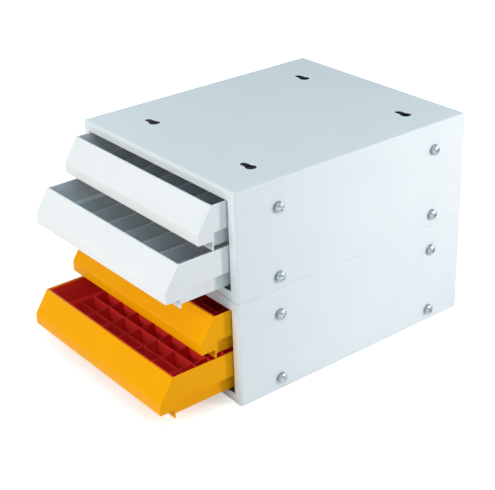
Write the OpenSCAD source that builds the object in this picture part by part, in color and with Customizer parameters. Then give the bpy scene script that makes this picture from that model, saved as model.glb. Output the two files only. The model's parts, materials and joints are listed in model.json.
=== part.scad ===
// Storage cabinet for paraffin tissue blocks: two stacked sheet-steel modules,
// each with two moulded drawers on runner rails. The drawers hold trays with dividers.
// Frame: origin at the centre of the base, front towards -Y, +Z up, millimetres.

/* [Cells] */
// Lanes across a drawer
lanes = 7; // [5:1:9]
// Pitch of the lanes, from divider centre to divider centre
lane_pitch = 34.6; // [30:0.1:40]
// Full rows of cells along a drawer
rows = 16; // [12:1:18]
// Pitch of the rows, from divider centre to divider centre
row_pitch = 19.8; // [17:0.1:24]
// Depth of the short first row, from the tray's front wall to the first cross divider
first_row = 14.9; // [10:0.1:20]
// Thickness of the dividers
divider_t = 2; // [1.2:0.1:3]

/* [Tray] */
// Wall and floor thickness of the tray
tray_wall = 2; // [1.6:0.1:3]
// Thickness of the side flanges that the tray hangs by
tray_flange_t = 1.2; // [1:0.1:2]
// Depth of the grooves that hold the divider ends
tray_groove = 0.7; // [0.4:0.1:1]
// Gap under the tray's floor
tray_hang = 0.3; // [0.3:0.1:1]
// Gap between the tray and the drawer's lower side walls
tray_gap_x = 2; // [0.6:0.1:3]
// Gap between the tray and the drawer's front and back walls
tray_gap_y = 0.8; // [0.4:0.1:2]
// Gap between a tray flange and the drawer's upper side wall
tray_flange_gap = 0.6; // [0.3:0.1:1.5]
// Wall thickness of the liner that rises round a tray with cells
liner_t = 1.2; // [0.8:0.1:1.3]
// How far the liner stays below the drawer's rim
liner_drop = 1; // [0.5:0.1:3]
// Gap round a divider in its groove and in its half laps
divider_fit = 0.1; // [0.05:0.05:0.2]

/* [Drawer] */
// Wall thickness of the moulding
wall = 2.2; // [1.8:0.1:3]
// Height of the upright lower strip of the front
face_h = 13.4; // [10:0.1:18]
// Height of the rim above the front's lower edge
rim_h = 40.9; // [36:0.1:50]
// How far the slanted front leans back
slope_run = 18.6; // [12:0.1:24]
// Width of the rim along the front
rim_t = 2; // [1.5:0.1:3]
// Thickness of the wall behind the finger grip
front_wall_t = 2.8; // [2.2:0.1:4]
// How far the lip behind the finger grip hangs below the front
fin_drop = 10.6; // [8:0.1:14]
// Thickness of that lip
fin_t = 2; // [1.5:0.1:2.2]
// How far the lip hangs below the drawer's floor
fin_below_floor = 1.2; // [0.4:0.1:2]
// Height of the side shoulder above the front's lower edge
shoulder_h = 10.4; // [8:0.1:14]
// Thickness of the ledge inside the shoulder
ledge_t = 2; // [1.6:0.1:3]
// Depth of the runner groove below the shoulder
groove = 6; // [4:0.1:8]
// Distance from the front to the stop lugs
lug_y = 241; // [200:1:260]
// Length of a stop lug
lug_l = 12; // [8:1:20]
// Height of a stop lug
lug_h = 12; // [8:1:14]
// Height of a lug's underside above the front's lower edge
lug_z = 22; // [18:1:24]
// How far a lug reaches past the side gap, behind the front flange
lug_catch = 1.9; // [1.2:0.1:2.5]

/* [Pull-out as shown] */
// Upper white drawer, front face to cabinet front
pull_white_top = 37.5; // [15:0.5:239]
// Lower white drawer
pull_white_bottom = 82.5; // [15:0.5:239]
// Upper yellow drawer
pull_yellow_top = 40.5; // [15:0.5:239]
// Lower yellow drawer
pull_yellow_bottom = 98.5; // [15:0.5:239]

/* [Housing] */
// Sheet thickness of the housing
sheet = 1.2; // [0.8:0.1:2]
// Width of the flange round the front opening
flange_w = 11.6; // [10:0.1:16]
// Width of the flange round the back
back_flange_w = 14; // [12:0.5:20]
// Height of the floor pan's side flanges
floor_flange_h = 6; // [4:0.5:7]
// Outer radius of the front edges
front_r = 4; // [2.5:0.1:5]
// Outer radius of the other folded edges
edge_r = 2.5; // [2.2:0.1:4]
// Gap beside a drawer in the front opening
side_gap = 2.1; // [1:0.1:4]
// Gap from the floor pan's front flange up to the lower drawer's lip
sill_gap = 2.2; // [0.6:0.1:4]
// Gap between a drawer's lip and the rim of the drawer below
stack_gap = 0.8; // [0.5:0.1:2]
// Gap between the upper drawer's rim and the front flange
rim_gap = 0.8; // [0.5:0.1:2]
// Free room behind a closed drawer
rear_room = 1.2; // [1.2:0.1:20]
// Gap at the seams between wrap and floor pan
seam = 0.15; // [0.1:0.05:0.5]

/* [Stacking keyholes] */
// Distance of a keyhole's seat from the cabinet's side
key_inset_x = 55.5; // [40:0.5:70]
// Distance of the keyholes from the front and from the back
key_inset_y = 57; // [40:0.5:80]
// Radius of the round entry
key_r = 6.6; // [6:0.1:8]
// Half width of the slot
key_slot_r = 4.5; // [3.6:0.1:4.5]
// Distance from the entry to the seat
key_travel = 12; // [10:0.5:14]
// Thread radius of a stud
stud_r = 3; // [2.5:0.1:3]
// Head radius of a stud
stud_head_r = 5.8; // [5:0.1:5.8]
// Head height of a stud
stud_head_h = 3; // [2:0.5:5]
// Thread length above the floor pan
stud_top = 5.6; // [5:0.1:7]
// Width across the flats of the nuts on the studs
stud_nut_flats = 10; // [9:0.1:11]

/* [Runners] */
// Thickness of a runner panel
panel_t = 1.5; // [1:0.1:2]
// Height of a rail
rail_h = 13.4; // [10:0.1:14]
// Wall thickness of a rail
rail_t = 2.2; // [1.5:0.1:3]
// Gap between a drawer's shoulder and its rail
run_gap = 0.3; // [0.3:0.1:0.6]
// Gap between a rail and the drawer's groove wall
rail_side_gap = 0.7; // [0.4:0.1:1.5]
// Distance of the rails' front ends from the cabinet front
rail_front = 6.3; // [5:0.1:8]
// Gap left at both stops
stop_gap = 0.3; // [0.3:0.1:1]
// Length of the solid webs in a rail
web_l = 14; // [10:1:20]
// Radius of the peg on each web
peg_r = 2.5; // [2:0.1:3]

/* [Fasteners] */
// Shank radius of the side screws
screw_r = 3; // [2.5:0.1:3]
// Head radius of the side screws
screw_head_r = 6.4; // [5.5:0.1:7]
// Head height of the side screws
screw_head_h = 6.2; // [5:0.1:7]
// Height of the straight edge of a side screw's head, under its dome
screw_edge_h = 3.4; // [2:0.1:4]
// Width across the flats of the nuts on the side screws
nut_flats = 10; // [9:0.1:10]
// Thickness of the nuts
nut_h = 4; // [3:0.1:4.5]
// Thread left past a nut
thread_past = 0.6; // [0.4:0.1:1]
// Radial gap of a shank in its hole
hole_gap = 0.2; // [0.1:0.05:0.4]
// Radial gap of a thread in its nut
thread_gap = 0.05; // [0.03:0.01:0.1]
// Distance of the front side screws from the cabinet front
screw_front = 58; // [40:1:80]
// Distance of the rear side screws from the cabinet back
screw_rear = 53; // [40:1:80]
// Height of the upper side screws above the upper rail
screw_over_rail = 11.2; // [8:0.1:14]
// Gap between a nut of a lower side screw and the lower rail
nut_rail_gap = 1; // [0.5:0.1:1.5]
// Shank radius of the back screws
back_screw_r = 2; // [1.5:0.1:2.5]
// Head radius of the back screws
back_head_r = 4; // [3.5:0.1:4.5]
// Head height of the back screws
back_head_h = 2.2; // [1.5:0.1:3]
// Height of the straight edge of a back screw's head, under its dome
back_edge_h = 0.8; // [0.4:0.1:1]
// Back panel left past a back screw's head
back_rim = 0.5; // [0.3:0.1:1]
// Width of a driver slot
driver_w = 1.3; // [0.8:0.1:1.6]
// Depth of a driver slot
driver_d = 1.2; // [0.8:0.1:1.3]

/* [Hidden] */
$fn = 48;
// Overrun of cuts past the face they go through
past = 1;
// Tray, in a drawer's own frame: y from its front face, z from its front's lower edge
front_wall_y = slope_run + rim_t - front_wall_t;
head_back = front_wall_y + front_wall_t;
tray_y0 = head_back + tray_gap_y;
first_divider = tray_y0 + tray_wall / 2 + first_row;
tray_y1 = first_divider + rows * row_pitch + tray_wall / 2;
tray_half = lanes * lane_pitch / 2 + tray_wall / 2;
// Drawer
drawer_l = tray_y1 + tray_gap_y + wall;
lower_in = tray_half + tray_gap_x;
lower_out = lower_in + wall;
drawer_half = lower_out + groove;
upper_in = drawer_half - wall;
bottom_drop = fin_drop - fin_below_floor;
floor_top = wall - bottom_drop;
ledge_top = shoulder_h + ledge_t;
tray_floor_z = floor_top + tray_hang;
tray_floor_top = tray_floor_z + tray_wall;
tray_top = ledge_top + tray_flange_t;
slope_l = norm([slope_run, rim_h - face_h]);
// Inside line of the slanted front, as a height at distance y behind the front face
function grip_roof(y) = face_h + ((y * (rim_h - face_h)) - wall * slope_l) / slope_run;
// Housing
drawer_h = rim_h + fin_drop;
drawer_pitch = drawer_h + stack_gap;
first_z = flange_w + sill_gap + fin_drop;
module_h = first_z + drawer_pitch + rim_h + rim_gap + flange_w;
open_half = drawer_half + side_gap;
width = 2 * (open_half + flange_w);
closed_pull = head_back - rail_front + stop_gap;
depth = drawer_l - closed_pull + rear_room + 2 * sheet;
front_y = -depth / 2;
wrap_rear = depth / 2 - sheet;
wall_in = width / 2 - sheet;
panel_in = wall_in - panel_t;
// Runners
function shoulder_z(place) = first_z + place * drawer_pitch + shoulder_h;
function rail_top(place) = shoulder_z(place) - run_gap;
rail_in = lower_out + rail_side_gap;
rail_y0 = front_y + rail_front;
rail_y1 = wrap_rear - sheet - rear_room;
rail_l = rail_y1 - rail_y0;
web_ys = [rail_y0 + web_l, (rail_y0 + rail_y1) / 2, rail_y1 - web_l];
screw_low = rail_top(0) - rail_h - nut_rail_gap - nut_flats / 2;
screw_high = rail_top(1) + screw_over_rail;
panel_y0 = front_y + front_r;
panel_y1 = wrap_rear - edge_r;
panel_z0 = floor_flange_h + stop_gap;
panel_z1 = screw_high + screw_head_r * 2;
screw_ys = [front_y + screw_front, depth / 2 - screw_rear];
screw_zs = [screw_low, screw_high];
// Keyholes, studs and back screws
seat_xs = [key_inset_x - width / 2, width / 2 - key_inset_x];
seat_ys = [front_y + key_inset_y, depth / 2 - key_inset_y];
back_margin = back_flange_w / 2;
back_edge = back_margin - back_head_r - back_rim;
back_xs = [back_margin - width / 2, width / 2 - back_margin];
back_zs = [back_margin * 3, module_h / 2, module_h - back_margin * 3];
// Colours
coat = "#dfe7ec";
zinc = "#b9bec2";
steel = "#9aa1a6";
white_abs = "#eef0f2";
yellow_abs = "#fab200";
red_abs = "#c31c1c";
rail_white = "#d8dcdc";

// Rectangle from lo to hi with its four corners rounded: radii at lo-lo, hi-lo, hi-hi and lo-hi
module outline(lo, hi, radii) {
  difference() {
    translate(lo) square(hi - lo);
    for (i = [0:3]) {
      sx = i == 0 || i == 3 ? 1 : -1;
      sy = i < 2 ? 1 : -1;
      corner = [sx > 0 ? lo.x : hi.x, sy > 0 ? lo.y : hi.y];
      if (radii[i] > 0)
        translate(corner) face_corner(sx, sy) spandrel(radii[i]);
    }
  }
}

// Turns a corner shape to face the corner it cuts
module face_corner(sx, sy) {
  mirror([sx < 0 ? 1 : 0, 0]) mirror([0, sy < 0 ? 1 : 0]) children();
}

// What a round corner leaves over of its square
module spandrel(r) {
  difference() {
    translate([-past, -past]) square(r + past);
    translate([r, r]) circle(r);
  }
}

// Box from lo to hi
module block(lo, hi) {
  translate(lo) cube(hi - lo);
}

// Housing block with its folded edges rounded, drawn in by inset and open below at base_z
module housing_block(inset, base_z) {
  lo = [inset - width / 2, front_y + inset, base_z];
  hi = [width / 2 - inset, wrap_rear - inset, module_h - inset];
  fr = front_r - inset;
  er = edge_r - inset;
  intersection() {
    translate([0, 0, base_z])
      linear_extrude(hi.z - base_z)
        outline([lo.x, lo.y], [hi.x, hi.y], [fr, fr, er, er]);
    translate([0, hi.y, 0]) rotate([90, 0, 0])
      linear_extrude(hi.y - lo.y)
        outline([lo.x, lo.z], [hi.x, hi.z], [0, 0, er, er]);
    translate([lo.x, 0, 0]) rotate([90, 0, 90])
      linear_extrude(hi.x - lo.x)
        outline([lo.y, lo.z], [hi.y, hi.z], [0, 0, er, fr]);
  }
}

// Keyhole cut: round entry towards +X, slot and seat towards -X
module keyhole(h) {
  cylinder(r = key_slot_r, h = h);
  translate([key_travel, 0, 0]) cylinder(r = key_r, h = h);
  translate([0, -key_slot_r, 0]) cube([key_travel, 2 * key_slot_r, h]);
}

// Holes through both sides for the side screws
module side_holes(r) {
  for (y = screw_ys, z = screw_zs)
    translate([-width / 2 - past, y, z]) rotate([0, 90, 0]) cylinder(r = r, h = width + 2 * past);
}

// Top and two sides of a module in one folded sheet, with flanges round the front and back
module housing_wrap(z0) {
  back_half = width / 2 - back_flange_w;
  color(coat) translate([0, 0, z0]) difference() {
    housing_block(0, 0);
    housing_block(sheet, -past);
    block([-open_half, front_y - past, -past], [open_half, front_y + sheet + past, module_h - flange_w]);
    block([-back_half, wrap_rear - sheet - past, -past],
          [back_half, wrap_rear + past, module_h - back_flange_w]);
    for (x = seat_xs, y = seat_ys)
      translate([x, y, module_h - sheet - past]) keyhole(sheet + 2 * past);
    side_holes(screw_r + hole_gap);
    back_holes(back_screw_r + hole_gap);
  }
}

// Holes for the back screws through the back panel and the back flange
module back_holes(r) {
  for (x = back_xs, z = back_zs)
    translate([x, depth / 2 + past, z]) rotate([90, 0, 0]) cylinder(r = r, h = 3 * sheet + 2 * past);
}

// Floor of a module, with upturned flanges on all four sides
module floor_pan(z0) {
  front_half = open_half - seam;
  back_half = width / 2 - back_flange_w - seam;
  plate_y0 = front_y + sheet + seam;
  plate_y1 = wrap_rear - sheet - seam;
  front_in_r = front_r - sheet;
  edge_in_r = edge_r - sheet;
  color(coat) translate([0, 0, z0]) difference() {
    union() {
      translate([-front_half, 0, 0]) rotate([90, 0, 90]) linear_extrude(2 * front_half)
        difference() {
          outline([front_y, 0], [plate_y0 + front_r, flange_w], [front_r, 0, 0, 0]);
          outline([front_y + sheet, sheet], [plate_y0 + front_r + past, flange_w + past],
                  [front_in_r, 0, 0, 0]);
        }
      difference() {
        linear_extrude(floor_flange_h)
          outline([-wall_in, plate_y0], [wall_in, plate_y1],
                  [front_in_r, front_in_r, edge_in_r, edge_in_r]);
        block([sheet - wall_in, plate_y0 - past, sheet],
              [wall_in - sheet, plate_y1 + past, floor_flange_h + past]);
      }
      block([-back_half, plate_y1 - past, 0], [back_half, wrap_rear, sheet]);
      block([-back_half, wrap_rear - sheet, 0], [back_half, wrap_rear, back_flange_w]);
    }
    for (x = seat_xs, y = seat_ys)
      translate([x, y, -past]) cylinder(r = stud_r + hole_gap, h = sheet + 2 * past);
  }
}

// Flat panel over the back flanges
module back_panel(z0) {
  color(coat) translate([0, 0, z0]) difference() {
    translate([0, depth / 2, 0]) rotate([90, 0, 0]) linear_extrude(sheet)
      outline([back_edge - width / 2, back_edge], [width / 2 - back_edge, module_h - back_edge],
              [edge_r, edge_r, edge_r, edge_r]);
    back_holes(back_screw_r + hole_gap);
  }
}

// Screws of the back panel
module back_screws(z0) {
  color(zinc) for (x = back_xs, z = back_zs)
    translate([x, depth / 2, z0 + z]) rotate([-90, 0, 0])
      round_screw(back_head_r, back_head_h, back_edge_h, back_screw_r, 2 * sheet + thread_past);
}

// Screw along Z with its head above z = 0: straight up to edge_h, then domed, with a cross recess
module round_screw(head_r, head_h, edge_h, r, shank_l) {
  dome_h = head_h - edge_h;
  dome_r = (head_r * head_r + dome_h * dome_h) / (2 * dome_h);
  difference() {
    union() {
      intersection() {
        translate([0, 0, head_h - dome_r]) sphere(dome_r);
        cylinder(r = head_r, h = head_h);
      }
      translate([0, 0, -shank_l]) cylinder(r = r, h = shank_l);
    }
    for (turn = [0, 90])
      rotate([0, 0, turn])
        block([-head_r / 2, -driver_w / 2, head_h - driver_d], [head_r / 2, driver_w / 2, head_h + past]);
  }
}

// Screws through both sides of a module, heads outside
module side_screws(z0) {
  shank_l = sheet + panel_t + nut_h + thread_past;
  color(zinc) for (side = [-1, 1], y = screw_ys, z = screw_zs)
    translate([side * width / 2, y, z0 + z]) rotate([0, side * 90, 0])
      round_screw(screw_head_r, screw_head_h, screw_edge_h, screw_r, shank_l);
}

// Hexagon nut along Z from z = 0, with two flats square to X
module hex_nut(flats, r) {
  difference() {
    rotate([0, 0, 30]) cylinder(r = flats / sqrt(3), h = nut_h, $fn = 6);
    translate([0, 0, -past]) cylinder(r = r, h = nut_h + 2 * past);
  }
}

// Nuts of the side screws, against the runner panels
module side_nuts(z0) {
  color(zinc) for (side = [-1, 1], y = screw_ys, z = screw_zs)
    translate([side * panel_in, y, z0 + z]) rotate([0, -side * 90, 0])
      hex_nut(nut_flats, screw_r + thread_gap);
}

// Panel flat against the inside of a side, drilled for the side screws and the rail pegs
module runner_panel(z0, side) {
  color(steel) translate([0, 0, z0]) difference() {
    block([side > 0 ? panel_in : -wall_in, panel_y0, panel_z0],
          [side > 0 ? wall_in : -panel_in, panel_y1, panel_z1]);
    side_holes(screw_r + hole_gap);
    for (place = [0, 1], y = web_ys)
      translate([-width / 2, y, rail_top(place) - rail_h / 2]) rotate([0, 90, 0])
        cylinder(r = peg_r + hole_gap, h = width);
  }
}

// Channel rail that carries one side of a drawer, pegged into its runner panel
module rail(z0, side, place) {
  top = rail_top(place);
  color(rail_white) translate([0, 0, z0]) mirror([side < 0 ? 1 : 0, 0, 0]) {
    difference() {
      block([rail_in, rail_y0, top - rail_h], [panel_in, rail_y1, top]);
      block([rail_in + rail_t, rail_y0 - past, top - rail_h + rail_t],
            [panel_in + past, rail_y1 + past, top - rail_t]);
    }
    for (y = web_ys) {
      block([rail_in + rail_t / 2, y - web_l / 2, top - rail_h + rail_t / 2],
            [panel_in, y + web_l / 2, top - rail_t / 2]);
      translate([panel_in - past, y, top - rail_h / 2]) rotate([0, 90, 0])
        cylinder(r = peg_r, h = panel_t + past);
    }
  }
}

// Studs in the upper module's floor, hooked under the lower module's top
module stacking_studs(z0) {
  color(zinc) for (x = seat_xs, y = seat_ys) translate([x, y, z0]) {
    translate([0, 0, -sheet - stop_gap - stud_head_h]) cylinder(r = stud_head_r, h = stud_head_h);
    translate([0, 0, -sheet - stop_gap - past])
      cylinder(r = stud_r, h = 2 * sheet + stop_gap + past + stud_top);
  }
}

// Nuts of the studs, on the upper module's floor
module stacking_nuts(z0) {
  color(zinc) for (x = seat_xs, y = seat_ys)
    translate([x, y, z0 + sheet]) hex_nut(stud_nut_flats, stud_r + thread_gap);
}

// Moves a drawer's own frame to its place in the cabinet
module at_drawer(z0, place, pull) {
  translate([0, front_y - pull, z0 + first_z + place * drawer_pitch]) children();
}

// Moulded drawer: slanted hollow front, shouldered sides, lip below the finger grip, stop lugs
module drawer(paint, z0, place, pull) {
  grip_y1 = front_wall_y;
  color(paint) at_drawer(z0, place, pull) difference() {
    union() {
      translate([-drawer_half, 0, 0]) rotate([90, 0, 90]) linear_extrude(2 * drawer_half)
        polygon([[0, 0], [0, face_h], [slope_run, rim_h], [head_back, rim_h], [head_back, 0]]);
      block([-drawer_half, front_wall_y, -fin_drop], [drawer_half, front_wall_y + fin_t, past]);
      block([-lower_out, front_wall_y, -bottom_drop], [lower_out, drawer_l, shoulder_h + past]);
      block([-drawer_half, front_wall_y, shoulder_h], [drawer_half, drawer_l, rim_h]);
      for (side = [-1, 1])
        stop_lug(side);
    }
    block([-upper_in, head_back, ledge_top], [upper_in, drawer_l - wall, rim_h + past]);
    block([-lower_in, head_back, floor_top], [lower_in, drawer_l - wall, ledge_top + past]);
    translate([-upper_in, 0, 0]) rotate([90, 0, 90]) linear_extrude(2 * upper_in)
      polygon([[wall, -past], [wall, grip_roof(wall)], [grip_y1, grip_roof(grip_y1)], [grip_y1, -past]]);
  }
}

// Lug on a drawer's side that stops behind the front flange
module stop_lug(side) {
  reach = drawer_half + side_gap + lug_catch;
  block([side > 0 ? upper_in + past : -reach, lug_y, lug_z],
        [side > 0 ? reach : -upper_in - past, lug_y + lug_l, lug_z + lug_h]);
}

// Places of the dividers across and along a tray
function lane_x(i) = (i + 1 - lanes / 2) * lane_pitch;
function row_y(k) = first_divider + k * row_pitch;

// Tray that hangs on the drawer's side ledges, grooved for the divider ends. With cells it has a liner
module tray(paint, z0, place, pull, crossed) {
  in_x = tray_half - tray_wall;
  slot_half = divider_t / 2 + divider_fit;
  flange_half = upper_in - tray_flange_gap;
  color(paint) at_drawer(z0, place, pull) difference() {
    union() {
      block([-tray_half, tray_y0, tray_floor_z], [tray_half, tray_y1, tray_top]);
      block([-flange_half, tray_y0, ledge_top], [flange_half, tray_y1, tray_top]);
      if (crossed)
        difference() {
          block([-flange_half, tray_y0, ledge_top], [flange_half, tray_y1, rim_h - liner_drop]);
          block([liner_t - flange_half, tray_y0 + liner_t, tray_top],
                [flange_half - liner_t, tray_y1 - liner_t, rim_h]);
        }
    }
    block([-in_x, tray_y0 + tray_wall, tray_floor_top], [in_x, tray_y1 - tray_wall, tray_top + past]);
    for (i = [0:lanes - 2])
      block([lane_x(i) - slot_half, tray_y0 + tray_wall - tray_groove, tray_floor_top],
            [lane_x(i) + slot_half, tray_y1 - tray_wall + tray_groove, tray_top + past]);
    if (crossed)
      for (k = [0:rows - 1])
        block([-in_x - tray_groove, row_y(k) - slot_half, tray_floor_top],
              [in_x + tray_groove, row_y(k) + slot_half, tray_top + past]);
  }
}

// Dividers along the depth of a tray, slotted from above where cross dividers meet them
module lane_dividers(paint, z0, place, pull, crossed) {
  y0 = tray_y0 + tray_wall - tray_groove + divider_fit;
  y1 = tray_y1 - tray_wall + tray_groove - divider_fit;
  slot_half = divider_t / 2 + divider_fit;
  lap_z = (tray_floor_top + tray_top) / 2 - divider_fit;
  color(paint) at_drawer(z0, place, pull) for (i = [0:lanes - 2])
    difference() {
      block([lane_x(i) - divider_t / 2, y0, tray_floor_top], [lane_x(i) + divider_t / 2, y1, tray_top]);
      if (crossed)
        for (k = [0:rows - 1])
          block([lane_x(i) - divider_t, row_y(k) - slot_half, lap_z],
                [lane_x(i) + divider_t, row_y(k) + slot_half, tray_top + past]);
    }
}

// Dividers across a tray, slotted from below over the lane dividers
module cross_dividers(paint, z0, place, pull) {
  half = tray_half - tray_wall + tray_groove - divider_fit;
  slot_half = divider_t / 2 + divider_fit;
  lap_z = (tray_floor_top + tray_top) / 2;
  color(paint) at_drawer(z0, place, pull) for (k = [0:rows - 1])
    difference() {
      block([-half, row_y(k) - divider_t / 2, tray_floor_top], [half, row_y(k) + divider_t / 2, tray_top]);
      for (i = [0:lanes - 2])
        block([lane_x(i) - slot_half, row_y(k) - divider_t, tray_floor_top - past],
              [lane_x(i) + slot_half, row_y(k) + divider_t, lap_z]);
    }
}

housing_wrap(0);  // lower_housing_wrap
floor_pan(0);  // lower_floor_pan
back_panel(0);  // lower_back_panel
back_screws(0);  // lower_back_screws
runner_panel(0, -1);  // lower_left_runner_panel
runner_panel(0, 1);  // lower_right_runner_panel
rail(0, -1, 0);  // lower_left_bottom_rail
rail(0, -1, 1);  // lower_left_top_rail
rail(0, 1, 0);  // lower_right_bottom_rail
rail(0, 1, 1);  // lower_right_top_rail
side_screws(0);  // lower_side_screws
side_nuts(0);  // lower_side_nuts
housing_wrap(module_h);  // upper_housing_wrap
floor_pan(module_h);  // upper_floor_pan
back_panel(module_h);  // upper_back_panel
back_screws(module_h);  // upper_back_screws
runner_panel(module_h, -1);  // upper_left_runner_panel
runner_panel(module_h, 1);  // upper_right_runner_panel
rail(module_h, -1, 0);  // upper_left_bottom_rail
rail(module_h, -1, 1);  // upper_left_top_rail
rail(module_h, 1, 0);  // upper_right_bottom_rail
rail(module_h, 1, 1);  // upper_right_top_rail
side_screws(module_h);  // upper_side_screws
side_nuts(module_h);  // upper_side_nuts
stacking_studs(module_h);
stacking_nuts(module_h);
drawer(yellow_abs, 0, 0, pull_yellow_bottom);  // yellow_bottom_drawer
drawer(yellow_abs, 0, 1, pull_yellow_top);  // yellow_top_drawer
drawer(white_abs, module_h, 0, pull_white_bottom);  // white_bottom_drawer
drawer(white_abs, module_h, 1, pull_white_top);  // white_top_drawer
tray(red_abs, 0, 0, pull_yellow_bottom, true);  // yellow_bottom_tray
tray(red_abs, 0, 1, pull_yellow_top, true);  // yellow_top_tray
tray(white_abs, module_h, 0, pull_white_bottom, false);  // white_bottom_tray
tray(white_abs, module_h, 1, pull_white_top, false);  // white_top_tray
lane_dividers(red_abs, 0, 0, pull_yellow_bottom, true);  // yellow_bottom_lane_dividers
lane_dividers(red_abs, 0, 1, pull_yellow_top, true);  // yellow_top_lane_dividers
lane_dividers(white_abs, module_h, 0, pull_white_bottom, false);  // white_bottom_lane_dividers
lane_dividers(white_abs, module_h, 1, pull_white_top, false);  // white_top_lane_dividers
cross_dividers(red_abs, 0, 0, pull_yellow_bottom);  // yellow_bottom_cross_dividers
cross_dividers(red_abs, 0, 1, pull_yellow_top);  // yellow_top_cross_dividers
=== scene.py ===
import json
import math

import bmesh
import bpy
from mathutils import Matrix, Vector


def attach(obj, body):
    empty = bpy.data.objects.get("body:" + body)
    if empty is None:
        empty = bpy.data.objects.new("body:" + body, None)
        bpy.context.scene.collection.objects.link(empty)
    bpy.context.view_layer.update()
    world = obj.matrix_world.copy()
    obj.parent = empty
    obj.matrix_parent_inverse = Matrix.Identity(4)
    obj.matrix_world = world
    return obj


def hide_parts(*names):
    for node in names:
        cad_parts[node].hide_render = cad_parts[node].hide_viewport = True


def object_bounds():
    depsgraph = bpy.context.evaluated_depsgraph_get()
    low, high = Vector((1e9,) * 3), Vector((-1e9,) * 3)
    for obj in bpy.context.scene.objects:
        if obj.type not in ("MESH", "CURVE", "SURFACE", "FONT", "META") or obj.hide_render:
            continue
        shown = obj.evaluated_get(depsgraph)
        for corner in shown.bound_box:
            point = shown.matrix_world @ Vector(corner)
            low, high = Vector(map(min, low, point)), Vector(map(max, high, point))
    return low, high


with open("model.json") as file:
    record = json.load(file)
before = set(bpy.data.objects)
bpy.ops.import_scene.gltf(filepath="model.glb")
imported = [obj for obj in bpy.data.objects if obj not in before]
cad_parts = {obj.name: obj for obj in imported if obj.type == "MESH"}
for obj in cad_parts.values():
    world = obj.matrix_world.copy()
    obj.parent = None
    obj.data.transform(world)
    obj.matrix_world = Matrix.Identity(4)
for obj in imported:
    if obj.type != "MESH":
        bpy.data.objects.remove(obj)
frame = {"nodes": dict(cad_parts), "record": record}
cad_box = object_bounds()
middle = (cad_box[0] + cad_box[1]) / 2

MM = 0.001

# The colour sockets of a mix, which share their names with its other kinds
COLOUR_A, COLOUR_B, COLOUR_MIXED = 6, 7, 2


def linear(srgb_hex):
    """Linear RGBA of an sRGB hex colour."""
    parts = [int(srgb_hex[i:i + 2], 16) / 255 for i in (1, 3, 5)]
    return tuple(c / 12.92 if c <= 0.04045 else ((c + 0.055) / 1.055) ** 2.4 for c in parts) + (1.0,)


def add(tree, kind, sockets=None, **settings):
    """Adds a node with its settings, then sets or links its sockets."""
    made = tree.nodes.new(kind)
    for key, value in settings.items():
        setattr(made, key, value)
    for key, value in (sockets or {}).items():
        if isinstance(value, bpy.types.NodeSocket):
            tree.links.new(value, made.inputs[key])
        else:
            made.inputs[key].default_value = value
    return made


def per_mm(size):
    """Scale of a pattern, on coordinates in metres, whose features are this many millimetres across."""
    return 1 / (size * MM)


def bare_material(name):
    """New material, with its empty node tree."""
    material = bpy.data.materials.new(name)
    material.use_nodes = True
    material.node_tree.nodes.clear()
    return material, material.node_tree


def on_object(tree):
    """Coordinates that stay with the object, in metres."""
    return add(tree, "ShaderNodeTexCoord").outputs["Object"]


# Polyester powder coat, sprayed on folded sheet steel and baked. It flows out to a satin skin with
# orange peel, which breaks up reflections, and it is a little greyer in places where it lies thinner.
# Sizes and depths are in mm.
COAT_CLOUD = 70
ORANGE_PEEL = 2.5
ORANGE_PEEL_DEPTH = 0.05


def powder_coat(name, full, thin):
    material, tree = bare_material(name)
    place = on_object(tree)
    cloud = add(tree, "ShaderNodeTexNoise", {"Vector": place, "Scale": per_mm(COAT_CLOUD), "Detail": 3.0})
    shade = add(tree, "ShaderNodeMix",
                {0: cloud.outputs["Fac"], COLOUR_A: linear(thin), COLOUR_B: linear(full)}, data_type="RGBA")
    peel = add(tree, "ShaderNodeTexNoise", {"Vector": place, "Scale": per_mm(ORANGE_PEEL), "Detail": 1.0})
    gloss = add(tree, "ShaderNodeMapRange", {"Value": peel.outputs["Fac"], "To Min": 0.42, "To Max": 0.52})
    skin = add(tree, "ShaderNodeBump",
               {"Height": peel.outputs["Fac"], "Strength": 0.35, "Distance": ORANGE_PEEL_DEPTH * MM})
    shader = add(tree, "ShaderNodeBsdfPrincipled",
                 {"Base Color": shade.outputs[COLOUR_MIXED], "Roughness": gloss.outputs["Result"],
                  "IOR": 1.5, "Specular IOR Level": 0.2, "Normal": skin.outputs["Normal"]})
    add(tree, "ShaderNodeOutputMaterial", {"Surface": shader.outputs["BSDF"]})
    return material


# Plastic, injection moulded in a spark-eroded tool. The fine grain of the tool gives a silky satin,
# and the melt leaves faint clouds, drawn out along the flow. The real grain is about 0.1 mm and is
# drawn coarser, so that it shows. Sizes and depths are in mm, the flow is a share of the cloud's scale,
# and the satin is a roughness.
MELT_CLOUD = 38
MELT_FLOW = (1.0, 0.35, 1.0)
TOOL_GRAIN = 0.9
TOOL_GRAIN_DEPTH = 0.04
SATIN_VARIES = 0.05


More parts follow.
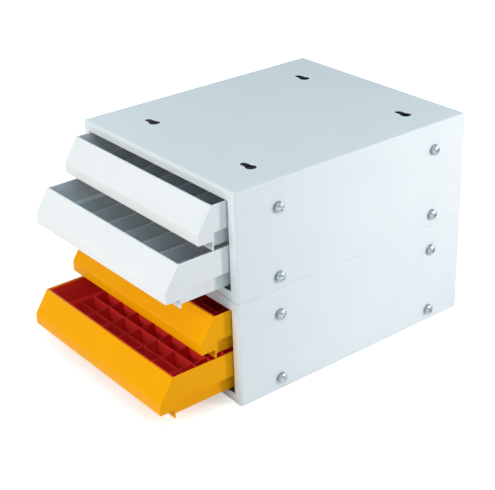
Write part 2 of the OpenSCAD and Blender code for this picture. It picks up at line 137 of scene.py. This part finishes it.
def moulded_plastic(name, body, cloudy, satin):
    material, tree = bare_material(name)
    place = on_object(tree)
    flow = add(tree, "ShaderNodeMapping", {"Vector": place, "Scale": MELT_FLOW})
    cloud = add(tree, "ShaderNodeTexNoise",
                {"Vector": flow.outputs["Vector"], "Scale": per_mm(MELT_CLOUD), "Detail": 4.0})
    shade = add(tree, "ShaderNodeMix",
                {0: cloud.outputs["Fac"], COLOUR_A: linear(cloudy), COLOUR_B: linear(body)}, data_type="RGBA")
    grain = add(tree, "ShaderNodeTexNoise", {"Vector": place, "Scale": per_mm(TOOL_GRAIN), "Detail": 2.0})
    gloss = add(tree, "ShaderNodeMapRange",
                {"Value": cloud.outputs["Fac"],
                 "To Min": satin - SATIN_VARIES, "To Max": satin + SATIN_VARIES})
    skin = add(tree, "ShaderNodeBump",
               {"Height": grain.outputs["Fac"], "Strength": 0.25, "Distance": TOOL_GRAIN_DEPTH * MM})
    shader = add(tree, "ShaderNodeBsdfPrincipled",
                 {"Base Color": shade.outputs[COLOUR_MIXED], "Roughness": gloss.outputs["Result"],
                  "IOR": 1.53, "Specular IOR Level": 0.06, "Normal": skin.outputs["Normal"]})
    add(tree, "ShaderNodeOutputMaterial", {"Surface": shader.outputs["BSDF"]})
    return material


# Steel screws, bright zinc plated in a barrel. The tumbling leaves a soft shine with fine marks, which
# are drawn coarser than they are, so that they show. Sizes and depths are in mm.
TUMBLING_MARKS = 0.6
TUMBLING_DEPTH = 0.03


def barrel_plated_zinc(name, dull, bright):
    material, tree = bare_material(name)
    marks = add(tree, "ShaderNodeTexNoise",
                {"Vector": on_object(tree), "Scale": per_mm(TUMBLING_MARKS), "Detail": 3.0})
    shade = add(tree, "ShaderNodeMix",
                {0: marks.outputs["Fac"], COLOUR_A: linear(dull), COLOUR_B: linear(bright)}, data_type="RGBA")
    gloss = add(tree, "ShaderNodeMapRange", {"Value": marks.outputs["Fac"], "To Min": 0.14, "To Max": 0.26})
    skin = add(tree, "ShaderNodeBump",
               {"Height": marks.outputs["Fac"], "Strength": 0.15, "Distance": TUMBLING_DEPTH * MM})
    shader = add(tree, "ShaderNodeBsdfPrincipled",
                 {"Base Color": shade.outputs[COLOUR_MIXED], "Metallic": 1.0,
                  "Roughness": gloss.outputs["Result"], "Normal": skin.outputs["Normal"]})
    add(tree, "ShaderNodeOutputMaterial", {"Surface": shader.outputs["BSDF"]})
    return material


# Hot-dip galvanised sheet. The zinc freezes in flat crystals some millimetres across, each a slightly
# different grey with its own dull shine. The size is in mm.
ZINC_SPANGLE = 9


def galvanised_sheet(name, dark, pale):
    material, tree = bare_material(name)
    spangle = add(tree, "ShaderNodeTexVoronoi", {"Vector": on_object(tree), "Scale": per_mm(ZINC_SPANGLE)})
    grey = add(tree, "ShaderNodeSeparateColor", {"Color": spangle.outputs["Color"]})
    shade = add(tree, "ShaderNodeMix",
                {0: grey.outputs["Red"], COLOUR_A: linear(dark), COLOUR_B: linear(pale)}, data_type="RGBA")
    gloss = add(tree, "ShaderNodeMapRange", {"Value": grey.outputs["Green"], "To Min": 0.38, "To Max": 0.56})
    shader = add(tree, "ShaderNodeBsdfPrincipled",
                 {"Base Color": shade.outputs[COLOUR_MIXED], "Metallic": 1.0,
                  "Roughness": gloss.outputs["Result"]})
    add(tree, "ShaderNodeOutputMaterial", {"Surface": shader.outputs["BSDF"]})
    return material


FINISHES = {
    "powder_coat": powder_coat("powder coat baked on steel", "#e6edf1", "#dfe7ec"),
    "zinc_steel": barrel_plated_zinc("steel, barrel plated zinc", "#909aa0", "#aeb7bc"),
    "galvanised_steel": galvanised_sheet("steel sheet, hot-dip galvanised", "#92999e", "#aeb5b9"),
    "rail_plastic": moulded_plastic("acetal, moulded off-white", "#dfe2e1", "#d6dad9", 0.42),
    "white_plastic": moulded_plastic("ABS, moulded white", "#eff2f4", "#e9edf0", 0.38),
    "yellow_plastic": moulded_plastic("ABS, moulded yellow", "#fcb000", "#f8a800", 0.36),
    "red_plastic": moulded_plastic("ABS, moulded red", "#fb423c", "#f43c37", 0.44),
}
# Mouldings, whose concave faces are split, so that none has to be filled round a hole
MOULDED = {"rail_plastic", "white_plastic", "yellow_plastic", "red_plastic"}

# Radius of the eased edges, in mm: folded sheet is deburred, mouldings have their tool's radii
EDGE_RADII = {
    "powder_coat": 0.3,
    "zinc_steel": 0.3,
    "galvanised_steel": 0.2,
    "rail_plastic": 0.5,
    "white_plastic": 1.0,
    "yellow_plastic": 1.0,
    "red_plastic": 0.7,
}
# Each rounding is made of this many flat strips
EDGE_STRIPS = 2
# Edges that turn by more than this are folded, cut or moulded edges; the rest are facets of a curve
SHARP_EDGE = math.radians(25)
# Edges of a moulding that turn by less than this are bends, rounded this many times wider than others
SHALLOW_BEND = math.radians(50)
BEND_SOFTNESS = 2.5
# Edges of a screw that turn by more than this are stamped with its recess and stay crisp
STAMPED_EDGE = math.radians(70)
# Facets that turn by less than this lie in one flat face
FLAT_FACE = math.radians(0.2)
# Points of the frame's mesh closer than this, in metres, are one corner
SAME_CORNER = 0.002 * MM
# Share of a narrow face that the roundings on its two sides may take up each
EDGE_SHARE = 0.42
# Two edges that leave a corner, by the cosine between them: below RUNS_ON one carries the other
# straight on, below BENDS_ON also round a slight bend, and above SIDE_BY_SIDE they form a thin wedge
RUNS_ON = -0.9
BENDS_ON = -0.8
SIDE_BY_SIDE = 0.82
# Blender's highest weight, with which the largest faces at a corner set its shading
LARGEST_FACES = 100


def cosine_between(edge, other, corner):
    """Cosine of the angle at which two edges leave their common corner."""
    along = (edge.other_vert(corner).co - corner.co).normalized()
    away = (other.other_vert(corner).co - corner.co).normalized()
    return along.dot(away)


def room_beside(edge, other, corner, sharp):
    """How far the rounding of an edge may reach towards the far end of another edge at its corner."""
    cosine = cosine_between(edge, other, corner)
    if other in sharp and cosine < RUNS_ON:
        return math.inf
    if other in sharp and cosine > SIDE_BY_SIDE:
        return 0.0
    return other.calc_length() * math.sqrt(max(0.0, 1 - cosine ** 2)) * EDGE_SHARE


def level_runs(rooms):
    """Gives edges that carry each other on the same room, so that their rounding has no step."""
    stepped = True
    while stepped:
        stepped = False
        for edge in rooms:
            for corner in edge.verts:
                for other in corner.link_edges:
                    narrower = other in rooms and rooms[other] < rooms[edge]
                    if narrower and cosine_between(edge, other, corner) < BENDS_ON:
                        rooms[edge] = rooms[other]
                        stepped = True


def edge_rooms(shape, slot, radius, bend_radius):
    """Radius that each sharp edge of a shape has room for, in metres."""
    sharp = {e for e in shape.edges if len(e.link_faces) == 2 and e.calc_face_angle() > SHARP_EDGE}
    rooms = {}
    for edge in sharp:
        room = bend_radius if edge.calc_face_angle() < SHALLOW_BEND else radius
        if slot == "zinc_steel" and edge.calc_face_angle() > STAMPED_EDGE:
            room = 0.0
        for corner in edge.verts:
            for other in corner.link_edges:
                if other is not edge and set(other.link_faces) & set(edge.link_faces):
                    room = min(room, room_beside(edge, other, corner, sharp))
        rooms[edge] = room
    if slot in MOULDED:
        level_runs(rooms)
    return rooms


def weighted_mesh(node, slot, radius, bend_radius):
    """Mesh of a CAD node in whole flat faces, with the rounding of each edge as a share of bend_radius."""
    shape = bmesh.new()
    shape.from_mesh(frame["nodes"][node].data)
    bmesh.ops.remove_doubles(shape, verts=shape.verts, dist=SAME_CORNER)
    bmesh.ops.dissolve_limit(shape, angle_limit=FLAT_FACE, verts=shape.verts, edges=shape.edges)
    if slot in MOULDED:
        bmesh.ops.connect_verts_concave(shape, faces=shape.faces)
    weight = shape.edges.layers.float.new("bevel_weight_edge")
    for edge, room in edge_rooms(shape, slot, radius, bend_radius).items():
        edge[weight] = room / bend_radius
        edge.smooth = room > 0
    mesh = bpy.data.meshes.new(node + "_shown")
    shape.to_mesh(mesh)
    shape.free()
    mesh.shade_smooth()
    return mesh


def eased(node, slot, body):
    """Shown piece for a CAD node: the same shape with its sharp edges rounded, as far as each has room."""
    radius = EDGE_RADII[slot] * MM
    bend_radius = radius * BEND_SOFTNESS if slot in MOULDED else radius
    mesh = weighted_mesh(node, slot, radius, bend_radius)
    mesh.materials.append(FINISHES[slot])
    piece = bpy.data.objects.new(node + "_shown", mesh)
    bpy.context.scene.collection.objects.link(piece)
    bevel = piece.modifiers.new("eased edges", "BEVEL")
    bevel.limit_method = "WEIGHT"
    bevel.width = bend_radius
    bevel.segments = EDGE_STRIPS
    bevel.use_clamp_overlap = False
    flats = piece.modifiers.new("flat faces stay flat", "WEIGHTED_NORMAL")
    flats.mode = "FACE_AREA"
    flats.weight = LARGEST_FACES
    flats.keep_sharp = True
    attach(piece, body)
    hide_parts(node)


bodies = {node: body for body, nodes in frame["record"]["behaviour"]["bodies"].items() for node in nodes}
for part in frame["record"]["subparts"]:
    eased(part["node"], part["material_slot"], bodies[part["node"]])

# Camera: where the photograph was taken from, found from the corners of the cabinet and the drawers.
# The place is in mm, and so is the lens, on Blender's own sensor.
CAMERA_PLACE = Vector((1038.22, -848.41, 761.16))
CAMERA_AZIMUTH = math.radians(52.27)
CAMERA_ELEVATION = math.radians(26.58)
CAMERA_ROLL = math.radians(-1.86)
CAMERA_LENS = 87.63

back = Vector((math.cos(CAMERA_ELEVATION) * math.sin(CAMERA_AZIMUTH),
               -math.cos(CAMERA_ELEVATION) * math.cos(CAMERA_AZIMUTH),
               math.sin(CAMERA_ELEVATION)))
right = Vector((math.cos(CAMERA_AZIMUTH), math.sin(CAMERA_AZIMUTH), 0))
up = back.cross(right)
rolled_right = right * math.cos(CAMERA_ROLL) + up * math.sin(CAMERA_ROLL)
rolled_up = up * math.cos(CAMERA_ROLL) - right * math.sin(CAMERA_ROLL)
turned = Matrix((rolled_right, rolled_up, back)).transposed().to_4x4()
camera = bpy.data.objects.new("camera", bpy.data.cameras.new("camera"))
camera.data.lens = CAMERA_LENS
camera.matrix_world = Matrix.Translation(CAMERA_PLACE * MM) @ turned
bpy.context.scene.collection.objects.link(camera)
bpy.context.scene.camera = camera


def seen(tree):
    """1 where the background itself is seen, also in a gloss or through glass, and 0 where it gives light."""
    path = add(tree, "ShaderNodeLightPath")
    direct = add(tree, "ShaderNodeMath",
                 {0: path.outputs["Is Camera Ray"], 1: path.outputs["Is Glossy Ray"]}, operation="MAXIMUM")
    return add(tree, "ShaderNodeMath",
               {0: direct.outputs[0], 1: path.outputs["Is Transmission Ray"]}, operation="MAXIMUM").outputs[0]


# Paper, matt white, as a studio floor. It has no gloss. It shows the object's shadow best within
# SHADOW_REACH of the object's middle, and from WHITE_FROM on it is seen as plain white, both in metres.
SHADOW_REACH = 0.3
WHITE_FROM = 0.9
SHADOW_GLOW = 0.5
WHITE_GLOW = 1.0


def matt_paper(name, tone):
    material, tree = bare_material(name)
    spot = add(tree, "ShaderNodeNewGeometry")
    away = add(tree, "ShaderNodeVectorMath",
               {0: spot.outputs["Position"], 1: (middle.x, middle.y, 0.0)}, operation="DISTANCE")
    paleness = add(tree, "ShaderNodeMapRange",
                   {"Value": away.outputs["Value"], "From Min": SHADOW_REACH, "From Max": WHITE_FROM,
                    "To Min": SHADOW_GLOW, "To Max": WHITE_GLOW},
                   interpolation_type="SMOOTHSTEP")
    glow = add(tree, "ShaderNodeMath", {0: seen(tree), 1: paleness.outputs[0]}, operation="MULTIPLY")
    shader = add(tree, "ShaderNodeBsdfPrincipled",
                 {"Base Color": linear(tone), "Roughness": 1.0, "Specular IOR Level": 0.0,
                  "Emission Color": linear("#ffffff"), "Emission Strength": glow.outputs[0]})
    add(tree, "ShaderNodeOutputMaterial", {"Surface": shader.outputs["BSDF"]})
    return material


# Floor: a square sheet, its side in metres
FLOOR_SIZE = 12.0
sheet = bmesh.new()
bmesh.ops.create_grid(sheet, x_segments=1, y_segments=1, size=FLOOR_SIZE / 2)
floor_mesh = bpy.data.meshes.new("floor")
sheet.to_mesh(floor_mesh)
sheet.free()
floor_mesh.materials.append(matt_paper("paper, matt white", "#ededed"))
floor = bpy.data.objects.new("floor", floor_mesh)
bpy.context.scene.collection.objects.link(floor)

# World: even, slightly cool light from all round, white where it is seen
WORLD_LIGHT = "#cdeaf4"
WORLD_STRENGTH = 0.30
world = bpy.data.worlds.new("studio")
world.use_nodes = True
bpy.context.scene.world = world
sky = world.node_tree
sky.nodes.clear()
dome = add(sky, "ShaderNodeBackground", {"Color": linear(WORLD_LIGHT), "Strength": WORLD_STRENGTH})
white = add(sky, "ShaderNodeBackground", {"Color": linear("#ffffff"), "Strength": 1.0})
either = add(sky, "ShaderNodeMixShader", {0: seen(sky), 1: dome.outputs[0], 2: white.outputs[0]})
add(sky, "ShaderNodeOutputWorld", {"Surface": either.outputs[0]})


def lamp(name, towards, elevation, distance, size, watts, tint, beam=180, glare=True):
    """Square soft light, aimed at the object's middle from a direction and an elevation in degrees.

    Distance and size are in metres and beam is in degrees. Without glare, no gloss mirrors the light.
    """
    level = Vector((*towards, 0)).normalized()
    raised = math.radians(elevation)
    aim = level * math.cos(raised) + Vector((0, 0, math.sin(raised)))
    light = bpy.data.lights.new(name, "AREA")
    light.shape = "SQUARE"
    light.size = size
    light.spread = math.radians(beam)
    light.energy = watts
    light.color = linear(tint)[:3]
    holder = bpy.data.objects.new(name, light)
    holder.matrix_world = (Matrix.Translation(middle + aim * distance)
                           @ aim.to_track_quat("Z", "Y").to_matrix().to_4x4())
    holder.visible_glossy = glare
    bpy.context.scene.collection.objects.link(holder)


lamp("front softbox", towards=(-0.05, -1.0), elevation=23, distance=2.0, size=0.85,
     watts=19.6, tint="#fff0e3", glare=False)
lamp("overhead softbox", towards=(0.9, -0.9), elevation=60, distance=2.0, size=1.8,
     watts=14.8, tint="#d6ebf6")
lamp("right rear lamp", towards=(0.9, 0.5), elevation=18, distance=1.1, size=0.18,
     watts=2.45, tint="#ffefe8", beam=130)
lamp("back softbox", towards=(0.35, 1.0), elevation=17, distance=2.0, size=1.2,
     watts=8.5, tint="#eef2f6")
lamp("left softbox", towards=(-1.0, 0.15), elevation=17, distance=2.0, size=1.2,
     watts=8.5, tint="#eef2f6")

bpy.context.scene.view_settings.view_transform = "Standard"
